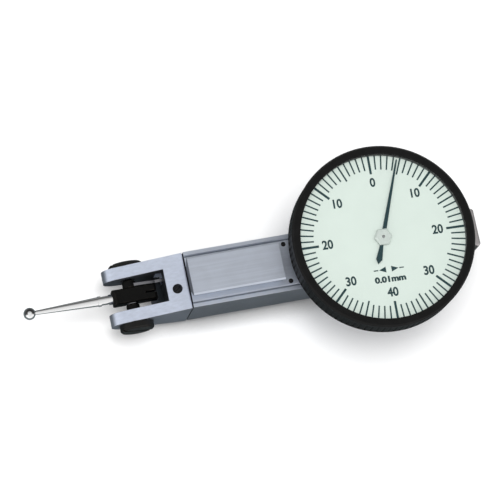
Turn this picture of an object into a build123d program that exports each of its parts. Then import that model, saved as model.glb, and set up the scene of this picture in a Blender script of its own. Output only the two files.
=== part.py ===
from build123d import *

import math
import os

# A small lever-type dial test indicator, in millimetres.
# The Z axis is the dial's axis, and z = 0 is the flat face of the back dovetail.
# The body lies along X. The stylus points along -X, and the dial's zero lies towards +Y.

# ---- Driving dimensions ----
BODY_WIDTH = 9.3
WALL = 0.8
CASE_FRONT = -31.4
CASE_REAR = 14.2
CASE_BOTTOM = 2.7
CASE_TOP = 13.3
FLOOR_THICKNESS = 1.0
REAR_BLOCK_X = 9.4
REAR_POST_X = 13.05
REAR_POST_TOP = 15.6
EDGE_CHAMFER = 0.2
SEAM_GROOVE = 0.3

DOVETAIL_WIDTH = 6.3
DOVETAIL_HEIGHT = 2.7
DOVETAIL_ROOT_WIDTH = 4.2
DOVETAIL_NECK = 0.35
DOVETAIL_CHAMFER = 0.28
DOVETAIL_LIP = 0.25
TOP_DOVETAIL_REAR = -16.1
COVER_THICKNESS = 1.1
COVER_REAR = -9.4
COVER_SCREW_Y = 3.1
REAR_DOVETAIL_LOW = 4.2

PIVOT_X = -40.4
PIVOT_Z = 8.0
SLOT_WIDTH = 5.3
SLOT_BACK = -35.0
NOSE_REAR = -31.6
NOSE_TOP = 12.95
NOSE_BOTTOM = 2.75
NOSE_TIP_X = -42.0
NOSE_TIP_Z = 7.85
NOSE_TIP_RADIUS = 2.5
TONGUE_LENGTH = 4.8
TONGUE_TOP = 6.0
SET_SCREW_X = -33.3
SET_SCREW_Y = -1.0
SET_SCREW_DIAMETER = 1.6

BEZEL_RADIUS = 15.0
OPENING_RADIUS = 13.6
BEZEL_SKIRT_RADIUS = 14.15
BEZEL_BOTTOM = 16.9
BEZEL_TOP = 21.6
BEZEL_LIP = 0.25
BEZEL_CHAMFER = 0.3
FLUTE_COUNT = 96
FLUTE_RADIUS = 0.24
FLUTE_DEPTH = 0.13
FLUTE_LOW = 17.5
FLUTE_HIGH = 20.7
CRYSTAL_THICKNESS = 0.3
CRYSTAL_RADIUS = 13.95
DIAL_FACE = 20.25
DIAL_THICKNESS = 0.4
DIAL_CASE_RADIUS = 12.8
DIAL_CASE_FLANGE_Z = 17.1
DIAL_CASE_TOP = 19.1
DIAL_CASE_FLOOR = 0.6
DIAL_CASE_WALL = 0.6
BEZEL_CLEARANCE = 0.05
WIRE_LOW = 17.6
WIRE_HIGH = 18.0

BALL_DIAMETER = 2.0
SCALE_RANGE = 0.8

# ---- Gear train: stylus to hand, 132 : 1 ----
LEVER_RATIO = 1.5
SECTOR_TEETH = 165
CROWN_PINION_TEETH = 15
CROWN_TEETH = 96
CENTRE_PINION_TEETH = 12
TOTAL_RATIO = LEVER_RATIO * SECTOR_TEETH / CROWN_PINION_TEETH * CROWN_TEETH / CENTRE_PINION_TEETH
STYLUS_LENGTH = SCALE_RANGE * TOTAL_RATIO / (2 * math.pi)
ROCKER_ARM = 9.9
LEVER_FRONT_ARM = ROCKER_ARM / LEVER_RATIO
DRIVE_PIN_X = PIVOT_X + ROCKER_ARM
LEVER_X = DRIVE_PIN_X + LEVER_FRONT_ARM
CROWN_PINION_RADIUS = -LEVER_X / (1 + SECTOR_TEETH / CROWN_PINION_TEETH)
SECTOR_RADIUS = -LEVER_X - CROWN_PINION_RADIUS
TRAIN_MODULE = 2 * CROWN_PINION_RADIUS / CROWN_PINION_TEETH
CROWN_RADIUS = 3.6
FINE_MODULE = 2 * CROWN_RADIUS / CROWN_TEETH
CENTRE_PINION_RADIUS = FINE_MODULE * CENTRE_PINION_TEETH / 2
PRESSURE_ANGLE = math.radians(20)
TOOTH_SHARE = 0.46
HAND_ANGLE = 21.8

# ---- Movement layout ----
PLATE_INNER_Y = 3.45
PLATE_OUTER_Y = 3.8
PLATE_FRONT = -26.3
PLATE_REAR = 8.4
PLATE_LOW = 3.9
PLATE_HIGH = 12.1
ARBOR_SHOULDER_Y = 3.4
ARBOR_END_Y = 3.78
PIVOT_RADIUS = 0.2
JEWEL_RADIUS = 0.6
RUNNING_CLEARANCE = 0.02
LEVER_LOW_Y = 2.35
LEVER_HIGH_Y = 3.05
SPACER_LENGTH_X = 2.6
SPACER_HEIGHT = 1.3
LOWER_SPACERS_X = (-20.0, 6.6)
UPPER_SPACERS_X = (-15.2, 6.6)
CENTRE_BRIDGE_LOW = 10.65
CENTRE_BRIDGE_HIGH = 11.1
DIAL_BRIDGE_LOW = 16.5
DIAL_BRIDGE_HIGH = 17.1
DIAL_PILLAR_X = 6.8
CENTRE_ARBOR_RADIUS = 0.4
CENTRE_PIVOT_RADIUS = 0.25
HAND_LOW = 20.5
HAND_THICKNESS = 0.15
HUB_TOP = 20.95
HUB_WIDTH_RADIUS = 1.5
HUB_CHAMFER = 0.22

HALF_WIDTH = BODY_WIDTH / 2
CAVITY_Y = HALF_WIDTH - WALL
FLOOR_TOP = CASE_BOTTOM + FLOOR_THICKNESS
HALF_SLOT = SLOT_WIDTH / 2
COVER_LOW = CASE_TOP - COVER_THICKNESS
COVER_HALF = CAVITY_Y - RUNNING_CLEARANCE
DIAL_FLOOR_TOP = CASE_TOP + DIAL_CASE_FLOOR

# ---- Front bearing, rocker and stylus ----
BEARING_HEAD_RADIUS = 2.8
RIGHT_HEAD_HEIGHT = 1.2
LEFT_HEAD_HEIGHT = 0.75
BEARING_STUB_RADIUS = 1.3
BEARING_INNER_Y = 2.75
BEARING_BORE_RADIUS = 0.7
AXLE_RADIUS = 0.6
AXLE_PIVOT_RADIUS = 0.25
HUB_RADIUS = 1.1
HUB_INNER_Y = 1.35
FRICTION_HUB_INNER_Y = 1.6
HUB_OUTER_Y = 2.5
ARM_LOW_Y = 1.4
ARM_HIGH_Y = 1.9
PIN_RADIUS = 0.4
BLOCK_FRONT = -43.5
BLOCK_REAR = -36.2
BLOCK_HALF_WIDTH = 1.25
BLOCK_HALF_HEIGHT = 1.3
STEM_RADIUS = 0.6
STEM_END_X = -41.8
COLLAR_RADIUS = 0.85
COLLAR_LENGTH = 2.4
SHANK_RADIUS = 0.78
SHANK_TIP_RADIUS = 0.36
COLLAR_FLAT = 0.62

# ---- Lever and crown wheel ----
LEVER_HUB_RADIUS = 1.1
LEVER_ARBOR_RADIUS = 0.5
CROWN_ARBOR_RADIUS = 0.4
CROWN_FACE_Y = CENTRE_PINION_RADIUS - 0.8 * FINE_MODULE
CROWN_ROOT_Y = CENTRE_PINION_RADIUS + 1.3 * FINE_MODULE
CROWN_RIM_INNER = 3.35
CROWN_RIM_OUTER = 3.85
CROWN_WEB_LOW_Y = 0.95
CROWN_WEB_HIGH_Y = 1.4

# ---- Centre arbor and hairspring ----
CENTRE_LOWER_PIVOT = 0.15
CENTRE_JEWEL_RADIUS = 0.45
HUB_SLEEVE_RADIUS = 0.45
PINION_LOW = 11.2
PINION_HIGH = 12.0
COLLET_LOW = 14.5
COLLET_HIGH = 15.3
COLLET_RADIUS = 0.75
SPRING_LOW = 14.7
SPRING_HIGH = 15.1
SPRING_OUTER = 4.6
SPRING_TURNS = 6
SPRING_THICKNESS = 0.1

# ---- Inside the bezel ----
LIP_LOW = BEZEL_TOP - BEZEL_LIP
CRYSTAL_LOW = LIP_LOW - CRYSTAL_THICKNESS
DIAL_LOW = DIAL_FACE - DIAL_THICKNESS
SNAP_RING_HEIGHT = 0.3
GASKET_WIDTH = 0.15


# ---- Helpers ----
def block(low, high):
    """A box between two opposite corners."""
    size = [b - a for a, b in zip(low, high)]
    middle = [(a + b) / 2 for a, b in zip(low, high)]
    return Pos(*middle) * Box(*size)


def rod(radius, start, end):
    """A cylinder between the centres of its two ends."""
    axis = Vector(end) - Vector(start)
    return extrude(Plane(origin=start, z_dir=axis) * Circle(radius), axis.length)


def tube(outer, inner, start, end):
    """A ring between the centres of its two ends."""
    return rod(outer, start, end) - rod(inner, start, end)


def side_plate(sketch, low_y, high_y):
    """A sketch drawn in (x, z), made solid between two y values."""
    return extrude(Plane.XZ.offset(-high_y) * sketch, high_y - low_y)


def ring_section(points):
    """A closed (radius, z) outline, turned about the dial's axis."""
    outline = make_face(Plane.XZ * Polyline(*points, close=True))
    return revolve(outline, Axis.Z)


def both_sides(shape):
    """A piece together with its mirror image across the body's middle plane."""
    return Compound([shape, mirror(shape, Plane.XZ)])


def screw(head_radius, head_height, shank_radius, head_face, direction, length):
    """A slotted flat screw: head_face is the centre of the head, direction points along the shank."""
    face = Vector(head_face)
    along = Vector(direction)
    neck = face + along * head_height
    tip = face + along * length
    body = rod(head_radius, face, neck)
    body += rod(shank_radius, neck, tip)
    slot_depth = head_height * 0.45
    slot = Box(2.4 * head_radius, 0.26 * head_radius, 2 * slot_depth)
    return body - Plane(origin=face, z_dir=along) * slot


def screw_hole(head_radius, head_height, shank_radius, head_face, direction, length):
    """The space that one screw fills, with its head's recess open to the outside."""
    face = Vector(head_face)
    along = Vector(direction)
    neck = face + along * head_height
    tip = face + along * length
    outside = face - along * 1.0
    hole = rod(head_radius, outside, neck)
    return hole + rod(shank_radius, neck, tip)


# ---- Screws: each row is head radius, head height, shank radius, head face, direction, length ----
COVER_SCREW_X = TOP_DOVETAIL_REAR + 1.2
COVER_SCREWS = [
    (0.4, 0.35, 0.25, (COVER_SCREW_X, side * COVER_SCREW_Y, CASE_TOP - 0.05), (0, 0, -1), 1.9)
    for side in (-1, 1)
]
NOSE_SCREWS = [(0.9, 0.7, 0.5, (-29.0, side * 1.5, 0.15), (0, 0, 1), 5.4) for side in (-1, 1)]
MOVEMENT_SCREWS = [(0.9, 0.7, 0.5, (x, 0, 0.15), (0, 0, 1), 4.6) for x in LOWER_SPACERS_X]
DIAL_CASE_SCREWS = [
    (0.85, 0.3, 0.4, (x, side * 2.4, DIAL_FLOOR_TOP + 0.1), (0, 0, -1), 1.7)
    for x in (-10.5, 10.5)
    for side in (-1, 1)
]
REAR_SCREW_X = CASE_REAR + DOVETAIL_HEIGHT - 0.15
REAR_SCREWS = [(0.9, 0.7, 0.5, (REAR_SCREW_X, 0, z), (-1, 0, 0), 4.6) for z in (6.5, 12.6)]
BRIDGE_SCREWS = [
    (0.5, 0.2, 0.3, (x, -PLATE_OUTER_Y + 0.02, 11.5), (0, 1, 0), 0.75) for x in (-1.3, 1.3)
]
DIAL_BRIDGE_SCREWS = [
    (0.85, 0.4, 0.45, (x, 0, DIAL_BRIDGE_HIGH + 0.25), (0, 0, -1), 2.2)
    for x in (-DIAL_PILLAR_X, DIAL_PILLAR_X)
]
PLATE_SCREW_OFFSET = 0.75
PLATE_SCREWS = [
    (0.5, 0.2, 0.28, (x - PLATE_SCREW_OFFSET, side * (PLATE_OUTER_Y - 0.02), z), (0, -side, 0), 1.3)
    for x, z in [(x, FLOOR_TOP + 0.7) for x in LOWER_SPACERS_X] + [(x, 11.5) for x in UPPER_SPACERS_X]
    for side in (-1, 1)
]


def screws(rows):
    return Compound([screw(*row) for row in rows])


def without_screws(shape, rows):
    for row in rows:
        shape -= screw_hole(*row)
    return shape


# ---- Case ----
def dovetail_profile():
    """Half-open dovetail outline: x is across the rail, y is the height above its seat."""
    root = DOVETAIL_ROOT_WIDTH / 2
    wide = DOVETAIL_WIDTH / 2
    shoulder = DOVETAIL_HEIGHT - DOVETAIL_CHAMFER - DOVETAIL_LIP
    right = [
        (root, 0),
        (root, DOVETAIL_NECK),
        (wide, shoulder),
        (wide, shoulder + DOVETAIL_LIP),
        (wide - DOVETAIL_CHAMFER, DOVETAIL_HEIGHT),
    ]
    left = [(-x, y) for x, y in reversed(right)]
    return make_face(Polyline(*right, *left, close=True))


def seam_grooves():
    """Shallow grooves of square section, on edge, along the two seams between cover plate and casing."""
    section = Rot(0, 0, 45) * Rectangle(SEAM_GROOVE, SEAM_GROOVE)
    seam = extrude(Plane.YZ.offset(CASE_FRONT) * section, COVER_REAR - CASE_FRONT)
    return both_sides(Pos(0, (CAVITY_Y + COVER_HALF) / 2, CASE_TOP) * seam)


def casing():
    body = block((CASE_FRONT, -HALF_WIDTH, CASE_BOTTOM), (CASE_REAR, HALF_WIDTH, CASE_TOP))
    bottom_edges = body.edges().filter_by(Axis.X).group_by(Axis.Z)[0]
    body = chamfer(bottom_edges, 2 * EDGE_CHAMFER)
    post = block((REAR_POST_X, -HALF_WIDTH, CASE_TOP), (CASE_REAR, HALF_WIDTH, REAR_POST_TOP))
    body += chamfer(post.edges().group_by(Axis.Z)[-1], EDGE_CHAMFER)
    body -= block((CASE_FRONT - 1, -CAVITY_Y, FLOOR_TOP), (REAR_BLOCK_X, CAVITY_Y, CASE_TOP + 1))
    rail = extrude(Plane.YZ.offset(CASE_FRONT) * dovetail_profile(), CASE_REAR - CASE_FRONT)
    body += Pos(0, 0, CASE_BOTTOM) * mirror(rail, Plane.XY)
    body -= seam_grooves()
    return without_screws(body, NOSE_SCREWS + MOVEMENT_SCREWS + DIAL_CASE_SCREWS + REAR_SCREWS)


def cover_plate():
    plate = block((CASE_FRONT, -COVER_HALF, COVER_LOW), (COVER_REAR, COVER_HALF, CASE_TOP))
    rail = extrude(Plane.YZ.offset(CASE_FRONT) * dovetail_profile(), TOP_DOVETAIL_REAR - CASE_FRONT)
    plate += Pos(0, 0, CASE_TOP) * rail
    plate -= seam_grooves()
    return without_screws(plate, COVER_SCREWS + DIAL_CASE_SCREWS)


def rear_dovetail():
    rail = extrude(dovetail_profile(), REAR_POST_TOP - REAR_DOVETAIL_LOW)
    rail = Pos(CASE_REAR, 0, REAR_DOVETAIL_LOW) * Rot(0, 0, -90) * rail
    rail = chamfer(rail.edges().group_by(Axis.Z)[-1], 1.5 * EDGE_CHAMFER)
    return without_screws(rail, REAR_SCREWS)


def nose_slot():
    """Space between the ears: square above the pivot, and round below it, as a disc cutter leaves it."""
    upper_front = NOSE_TIP_X - 2 * NOSE_TIP_RADIUS
    upper = block((upper_front, -HALF_SLOT, PIVOT_Z), (SLOT_BACK, HALF_SLOT, 2 * PIVOT_Z))
    disc = Pos(PIVOT_X, PIVOT_Z) * Circle(SLOT_BACK - PIVOT_X)
    return upper + side_plate(disc, -HALF_SLOT, HALF_SLOT)


def nose_block():
    rear_edge = Pos(NOSE_REAR - 0.1, (NOSE_TOP + NOSE_BOTTOM) / 2) * Rectangle(0.2, NOSE_TOP - NOSE_BOTTOM)
    tip = Pos(NOSE_TIP_X, NOSE_TIP_Z) * Circle(NOSE_TIP_RADIUS)
    wedge = make_hull(rear_edge.edges() + tip.edges())
    body = side_plate(wedge, -HALF_WIDTH, HALF_WIDTH)
    body -= nose_slot()
    tunnel_height = 3.2
    body -= block(
        (SLOT_BACK - 1, 1.1, PIVOT_Z - tunnel_height / 2),
        (NOSE_REAR + 1, 3.3, PIVOT_Z + tunnel_height / 2),
    )
    tongue_end = NOSE_REAR + TONGUE_LENGTH
    tongue_half = CAVITY_Y - RUNNING_CLEARANCE
    body += block((NOSE_REAR - 0.5, -tongue_half, FLOOR_TOP), (tongue_end, tongue_half, TONGUE_TOP))
    body -= rod(BEARING_STUB_RADIUS, (PIVOT_X, -HALF_WIDTH, PIVOT_Z), (PIVOT_X, HALF_WIDTH, PIVOT_Z))
    body -= rod(SET_SCREW_DIAMETER / 2, (SET_SCREW_X, SET_SCREW_Y, 8.6), (SET_SCREW_X, SET_SCREW_Y, 14))
    return without_screws(body, NOSE_SCREWS)


def nose_set_screw():
    """A headless slotted screw, sunk below the nose block's sloping top."""
    top = 11.7
    body = rod(SET_SCREW_DIAMETER / 2, (SET_SCREW_X, SET_SCREW_Y, 8.8), (SET_SCREW_X, SET_SCREW_Y, top))
    slot = Pos(SET_SCREW_X, SET_SCREW_Y, top) * Rot(0, 0, 35) * Box(SET_SCREW_DIAMETER + 1, 0.3, 0.9)
    return body - slot


# ---- Front bearing and rocker ----
def bearing_screw(side):
    """Black screw whose head is the disc outside the ear; its stub holds the rocker's jewel."""
    head_face = HALF_WIDTH + (LEFT_HEAD_HEIGHT if side > 0 else RIGHT_HEAD_HEIGHT)
    head = rod(BEARING_HEAD_RADIUS, (PIVOT_X, HALF_WIDTH, PIVOT_Z), (PIVOT_X, head_face, PIVOT_Z))
    head = chamfer(head.edges().filter_by(GeomType.CIRCLE).group_by(Axis.Y)[-1], 0.25)
    head += rod(BEARING_STUB_RADIUS, (PIVOT_X, BEARING_INNER_Y, PIVOT_Z), (PIVOT_X, HALF_WIDTH, PIVOT_Z))
    head -= rod(BEARING_BORE_RADIUS, (PIVOT_X, BEARING_INNER_Y, PIVOT_Z), (PIVOT_X, 3.75, PIVOT_Z))
    slot = Pos(PIVOT_X, head_face, PIVOT_Z) * Rot(0, 28, 0) * Box(2 * BEARING_HEAD_RADIUS + 1, 0.7, 0.6)
    head -= slot
    return head if side > 0 else mirror(head, Plane.XZ)


def rocker_jewels():
    jewel = tube(
        BEARING_BORE_RADIUS,
        AXLE_PIVOT_RADIUS + RUNNING_CLEARANCE,
        (PIVOT_X, 2.95, PIVOT_Z),
        (PIVOT_X, 3.35, PIVOT_Z),
    )
    return both_sides(jewel)


def rocker_axle():
    shoulder = 2.6
    end = 3.6
    axle = rod(AXLE_RADIUS, (PIVOT_X, -shoulder, PIVOT_Z), (PIVOT_X, shoulder, PIVOT_Z))
    return axle + rod(AXLE_PIVOT_RADIUS, (PIVOT_X, -end, PIVOT_Z), (PIVOT_X, end, PIVOT_Z))


def rocker_hub():
    hub = tube(HUB_RADIUS, AXLE_RADIUS, (PIVOT_X, HUB_INNER_Y, PIVOT_Z), (PIVOT_X, HUB_OUTER_Y, PIVOT_Z))
    outer_edges = hub.edges().filter_by(GeomType.CIRCLE).group_by(Axis.Y)[-1]
    return chamfer(outer_edges.sort_by(SortBy.RADIUS)[-1], 0.15)


def friction_hub():
    start = (PIVOT_X, -HUB_OUTER_Y, PIVOT_Z)
    hub = tube(HUB_RADIUS, AXLE_RADIUS, start, (PIVOT_X, -FRICTION_HUB_INNER_Y, PIVOT_Z))
    outer_edges = hub.edges().filter_by(GeomType.CIRCLE).group_by(Axis.Y)[0]
    return chamfer(outer_edges.sort_by(SortBy.RADIUS)[-1], 0.15)


def friction_washer():
    """A dished spring washer between the swivel block and the friction hub."""
    thickness = 0.12
    inner = AXLE_RADIUS + RUNNING_CLEARANCE
    outer = 1.05
    near_block = BLOCK_HALF_WIDTH + RUNNING_CLEARANCE
    near_hub = FRICTION_HUB_INNER_Y
    section = [
        (inner, near_hub - thickness),
        (inner, near_hub),
        (outer, near_block + thickness),
        (outer, near_block),
    ]
    outline = make_face(Plane.XZ * Polyline(*section, close=True))
    washer = revolve(outline, Axis.Z)
    return Pos(PIVOT_X, 0, PIVOT_Z) * Rot(90, 0, 0) * washer


def rocker_arm():
    """Steel beam from the hub to the drive pin; its front end is hollowed to seat on the hub."""
    front = Pos(PIVOT_X + HUB_RADIUS, PIVOT_Z) * Rectangle(0.8, 1.9)
    end = Pos(DRIVE_PIN_X, PIVOT_Z) * Circle(0.8)
    waist = make_hull(front.edges() + (Pos(PIVOT_X + 4.2, PIVOT_Z) * Circle(0.55)).edges())
    beam = make_hull((Pos(PIVOT_X + 4.2, PIVOT_Z) * Circle(0.55)).edges() + end.edges())
    arm = side_plate(waist + beam, ARM_LOW_Y, ARM_HIGH_Y)
    arm -= rod(HUB_RADIUS, (PIVOT_X, 0, PIVOT_Z), (PIVOT_X, 3, PIVOT_Z))
    return arm - rod(PIN_RADIUS, (DRIVE_PIN_X, 0, PIVOT_Z), (DRIVE_PIN_X, 3, PIVOT_Z))


def drive_pin():
    return rod(PIN_RADIUS, (DRIVE_PIN_X, ARM_LOW_Y, PIVOT_Z), (DRIVE_PIN_X, LEVER_HIGH_Y, PIVOT_Z))


# ---- Stylus ----
def swivel_block():
    """The stylus holder: it turns on the rocker's axle against the friction washer."""
    outline = Pos((BLOCK_FRONT + BLOCK_REAR) / 2, PIVOT_Z) * Rectangle(
        BLOCK_REAR - BLOCK_FRONT, 2 * BLOCK_HALF_HEIGHT
    )
    body = side_plate(outline, -BLOCK_HALF_WIDTH, BLOCK_HALF_WIDTH)
    body = chamfer(body.edges().filter_by(Axis.Y), 0.45)
    body = chamfer(body.edges().filter_by(Axis.X), 0.2)
    bore = AXLE_RADIUS + RUNNING_CLEARANCE
    body -= rod(bore, (PIVOT_X, -2, PIVOT_Z), (PIVOT_X, 2, PIVOT_Z))
    body -= rod(STEM_RADIUS, (BLOCK_FRONT - 1, 0, PIVOT_Z), (STEM_END_X, 0, PIVOT_Z))
    relief = 0.35
    body -= block(
        (BLOCK_REAR - 1.9, -relief / 2, PIVOT_Z - 2),
        (BLOCK_REAR + 1, relief / 2, PIVOT_Z + 2),
    )
    return body


def ball_centre():
    return (PIVOT_X - STYLUS_LENGTH, 0, PIVOT_Z)


def stylus_shank():
    """Threaded stem, collar with two flats, and a tapering shank cupped round the ball."""
    collar_end = BLOCK_FRONT - COLLAR_LENGTH
    ball_x = ball_centre()[0]
    ball_radius = BALL_DIAMETER / 2
    seat_x = ball_x + math.sqrt(ball_radius**2 - SHANK_TIP_RADIUS**2)
    seat_angle = math.asin(SHANK_TIP_RADIUS / ball_radius) / 2
    middle = (ball_x + ball_radius * math.cos(seat_angle), ball_radius * math.sin(seat_angle))
    steps = [
        (ball_x + ball_radius, 0),
        (STEM_END_X, 0),
        (STEM_END_X, STEM_RADIUS),
        (BLOCK_FRONT, STEM_RADIUS),
        (BLOCK_FRONT, COLLAR_RADIUS),
        (collar_end, COLLAR_RADIUS),
        (collar_end, SHANK_RADIUS),
        (seat_x, SHANK_TIP_RADIUS),
    ]
    outline = [Polyline(*steps), ThreePointArc(steps[-1], middle, steps[0])]
    shank = Pos(0, 0, PIVOT_Z) * revolve(make_face(outline), Axis.X)
    for side in (-1, 1):
        low, high = sorted((side * COLLAR_FLAT, side * 2))
        shank -= block((collar_end + 0.5, low, PIVOT_Z - 2), (BLOCK_FRONT - 0.6, high, PIVOT_Z + 2))
    return shank


def contact_ball():
    return Pos(*ball_centre()) * Sphere(BALL_DIAMETER / 2)


# ---- Gear teeth ----
def involute(angle):
    return math.tan(angle) - angle


def tooth(pitch_radius, module, inner_radius):
    """One spur tooth that points along +x; its flanks are arcs through three involute points."""
    base = pitch_radius * math.cos(PRESSURE_ANGLE)
    half_pitch_angle = TOOTH_SHARE * math.pi * module / (2 * pitch_radius)
    root = pitch_radius - 1.15 * module
    tip = pitch_radius + 0.85 * module

    def flank(radius):
        reached = max(radius, base)
        half = half_pitch_angle + involute(PRESSURE_ANGLE) - involute(math.acos(base / reached))
        return (radius * math.cos(half), radius * math.sin(half))

    low, middle, high = flank(root), flank((root + tip) / 2), flank(tip)
    foot = (inner_radius, low[1])
    below = [(x, -y) for x, y in (foot, low, middle, high)]
    outline = [
        Line(foot, low),
        ThreePointArc(low, middle, high),
        Line(high, below[3]),
        ThreePointArc(below[3], below[2], below[1]),
        Line(below[1], below[0]),
        Line(below[0], foot),
    ]
    return make_face(outline)


def spur_gear(pitch_radius, module, count, first_angle):
    """A full toothed wheel as a flat sketch, with one tooth at first_angle degrees."""
    root = pitch_radius - 1.15 * module
    one = tooth(pitch_radius, module, root - 0.4 * module)
    teeth = [Rot(0, 0, first_angle + k * 360 / count) * one for k in range(count)]
    return Circle(root) + teeth


# ---- Sector lever ----
def sector_lever():
    """Lever with a fork round the drive pin in front and a toothed sector behind."""
    pitch = 360 / SECTOR_TEETH
    lowest, highest = -4, 2
    root = SECTOR_RADIUS - 1.15 * TRAIN_MODULE
    rim = root - 1.3
    low_angle = (lowest - 0.5) * pitch
    high_angle = (highest + 0.5) * pitch
    corner = [
        (radius * math.cos(math.radians(angle)), radius * math.sin(math.radians(angle)))
        for radius, angle in (
            (rim, low_angle),
            (root, low_angle),
            (root, (low_angle + high_angle) / 2),
            (root, high_angle),
            (rim, high_angle),
        )
    ]
    outline = [
        Line(corner[0], corner[1]),
        ThreePointArc(corner[1], corner[2], corner[3]),
        Line(corner[3], corner[4]),
        Line(corner[4], corner[0]),
    ]
    shape = make_face(outline)
    one = tooth(SECTOR_RADIUS, TRAIN_MODULE, root - 0.1)
    shape += [Rot(0, 0, k * pitch) * one for k in range(lowest, highest + 1)]
    hub = Circle(LEVER_HUB_RADIUS)
    beam_angle = (lowest + highest) / 2 * pitch
    far_end = Rot(0, 0, beam_angle) * Pos(rim, 0) * Rectangle(0.6, 1.5)
    shape += make_hull(hub.edges() + far_end.edges())
    fork_half = PIN_RADIUS + RUNNING_CLEARANCE + 0.45
    fork_front = -LEVER_FRONT_ARM - PIN_RADIUS - 0.25
    shape += Pos(fork_front / 2, 0) * Rectangle(-fork_front, 2 * fork_half)
    slot = 2 * (PIN_RADIUS + RUNNING_CLEARANCE)
    slot_length = 1.6
    shape -= Pos(-LEVER_FRONT_ARM - slot_length / 2, 0) * Rectangle(slot_length, slot)
    shape -= Pos(-LEVER_FRONT_ARM, 0) * Circle(slot / 2)
    shape -= Circle(LEVER_ARBOR_RADIUS)
    shape -= Rot(0, 0, beam_angle / 2) * Pos(7, 0) * SlotOverall(5, 0.7)
    return side_plate(Pos(LEVER_X, PIVOT_Z) * shape, LEVER_LOW_Y, LEVER_HIGH_Y)


def cross_arbor(x, radius):
    """An arbor across the body, with a thin pivot at each end."""
    body = rod(radius, (x, -ARBOR_SHOULDER_Y, PIVOT_Z), (x, ARBOR_SHOULDER_Y, PIVOT_Z))
    return body + rod(PIVOT_RADIUS, (x, -ARBOR_END_Y, PIVOT_Z), (x, ARBOR_END_Y, PIVOT_Z))


def cross_jewels(x):
    hole = PIVOT_RADIUS + RUNNING_CLEARANCE
    return both_sides(
        tube(JEWEL_RADIUS, hole, (x, PLATE_INNER_Y, PIVOT_Z), (x, PLATE_OUTER_Y, PIVOT_Z))
    )


# ---- Crown wheel ----
def crown_wheel():
    """Contrate wheel: its teeth stand on the rim and point towards the centre pinion."""
    web = Circle(CROWN_RIM_OUTER) - Circle(CROWN_ARBOR_RADIUS)
    web -= [Rot(0, 0, 60 * k) * Pos(2.05, 0) * Circle(0.75) for k in range(6)]
    rim = Circle(CROWN_RIM_OUTER) - Circle(CROWN_RIM_INNER)
    half_angle = TOOTH_SHARE * math.pi / CROWN_TEETH
    inner, outer = CROWN_RIM_INNER, CROWN_RIM_OUTER
    corners = [
        (inner * math.cos(half_angle), inner * math.sin(half_angle)),
        (outer * math.cos(half_angle), outer * math.sin(half_angle)),
        (outer * math.cos(half_angle), -outer * math.sin(half_angle)),
        (inner * math.cos(half_angle), -inner * math.sin(half_angle)),
    ]
    one = make_face(Polyline(*corners, close=True))
    pitch = 360 / CROWN_TEETH
    teeth = Sketch() + [Rot(0, 0, 90 + (k + 0.5) * pitch) * one for k in range(CROWN_TEETH)]
    place = Pos(0, PIVOT_Z)
    wheel = side_plate(place * web, CROWN_WEB_LOW_Y, CROWN_WEB_HIGH_Y)
    wheel += side_plate(place * rim, CROWN_ROOT_Y, CROWN_WEB_HIGH_Y)
    collar = tube(1.0, CROWN_ARBOR_RADIUS, (0, CROWN_WEB_LOW_Y, PIVOT_Z), (0, 2.0, PIVOT_Z))
    wheel += collar
    return wheel + side_plate(place * teeth, CROWN_FACE_Y, CROWN_ROOT_Y)


def crown_pinion():
    gear = spur_gear(
        CROWN_PINION_RADIUS, TRAIN_MODULE, CROWN_PINION_TEETH, 180 + 180 / CROWN_PINION_TEETH
    )
    gear -= Circle(CROWN_ARBOR_RADIUS)
    return side_plate(Pos(0, PIVOT_Z) * gear, LEVER_LOW_Y - 0.15, LEVER_HIGH_Y + 0.15)


# ---- Centre arbor, hairspring and hand ----
def centre_pinion():
    """Arbor on the dial's axis, cut with the small pinion at its lower end."""
    gear = spur_gear(CENTRE_PINION_RADIUS, FINE_MODULE, CENTRE_PINION_TEETH, 90)
    arbor = Pos(0, 0, PINION_LOW) * extrude(gear, PINION_HIGH - PINION_LOW)
    arbor += rod(CENTRE_LOWER_PIVOT, (0, 0, CENTRE_BRIDGE_LOW + 0.1), (0, 0, PINION_LOW))
    arbor += rod(CENTRE_ARBOR_RADIUS, (0, 0, PINION_HIGH), (0, 0, DIAL_BRIDGE_LOW - 0.05))
    return arbor + rod(CENTRE_PIVOT_RADIUS, (0, 0, PINION_HIGH), (0, 0, HUB_TOP + 0.02))


def hairspring_collet():
    return tube(COLLET_RADIUS, CENTRE_ARBOR_RADIUS, (0, 0, COLLET_LOW), (0, 0, COLLET_HIGH))


def spiral(shift):
    """An Archimedean spiral from the collet to the stud, moved outwards by shift."""
    steps = SPRING_TURNS * 8
    growth = (SPRING_OUTER - SPRING_THICKNESS / 2 - COLLET_RADIUS - SPRING_THICKNESS / 2) / steps
    points = []
    for k in range(steps + 1):
        radius = COLLET_RADIUS + SPRING_THICKNESS / 2 + growth * k + shift
        angle = math.pi + 2 * math.pi * SPRING_TURNS * k / steps
        points.append((radius * math.cos(angle), radius * math.sin(angle)))
    return points


def hairspring():
    inner = spiral(-SPRING_THICKNESS / 2)
    outer = spiral(SPRING_THICKNESS / 2)
    outline = [
        Spline(*inner),
        Line(inner[-1], outer[-1]),
        Spline(*reversed(outer)),
        Line(outer[0], inner[0]),
    ]
    strip = extrude(make_face(outline), SPRING_HIGH - SPRING_LOW)
    return Pos(0, 0, SPRING_LOW) * strip


def hairspring_stud():
    """Post on the dial case's floor that holds the spring's outer end."""
    reach = SPRING_OUTER + 0.5
    return rod(0.5, (-reach, 0, DIAL_FLOOR_TOP), (-reach, 0, COLLET_HIGH))


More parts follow.
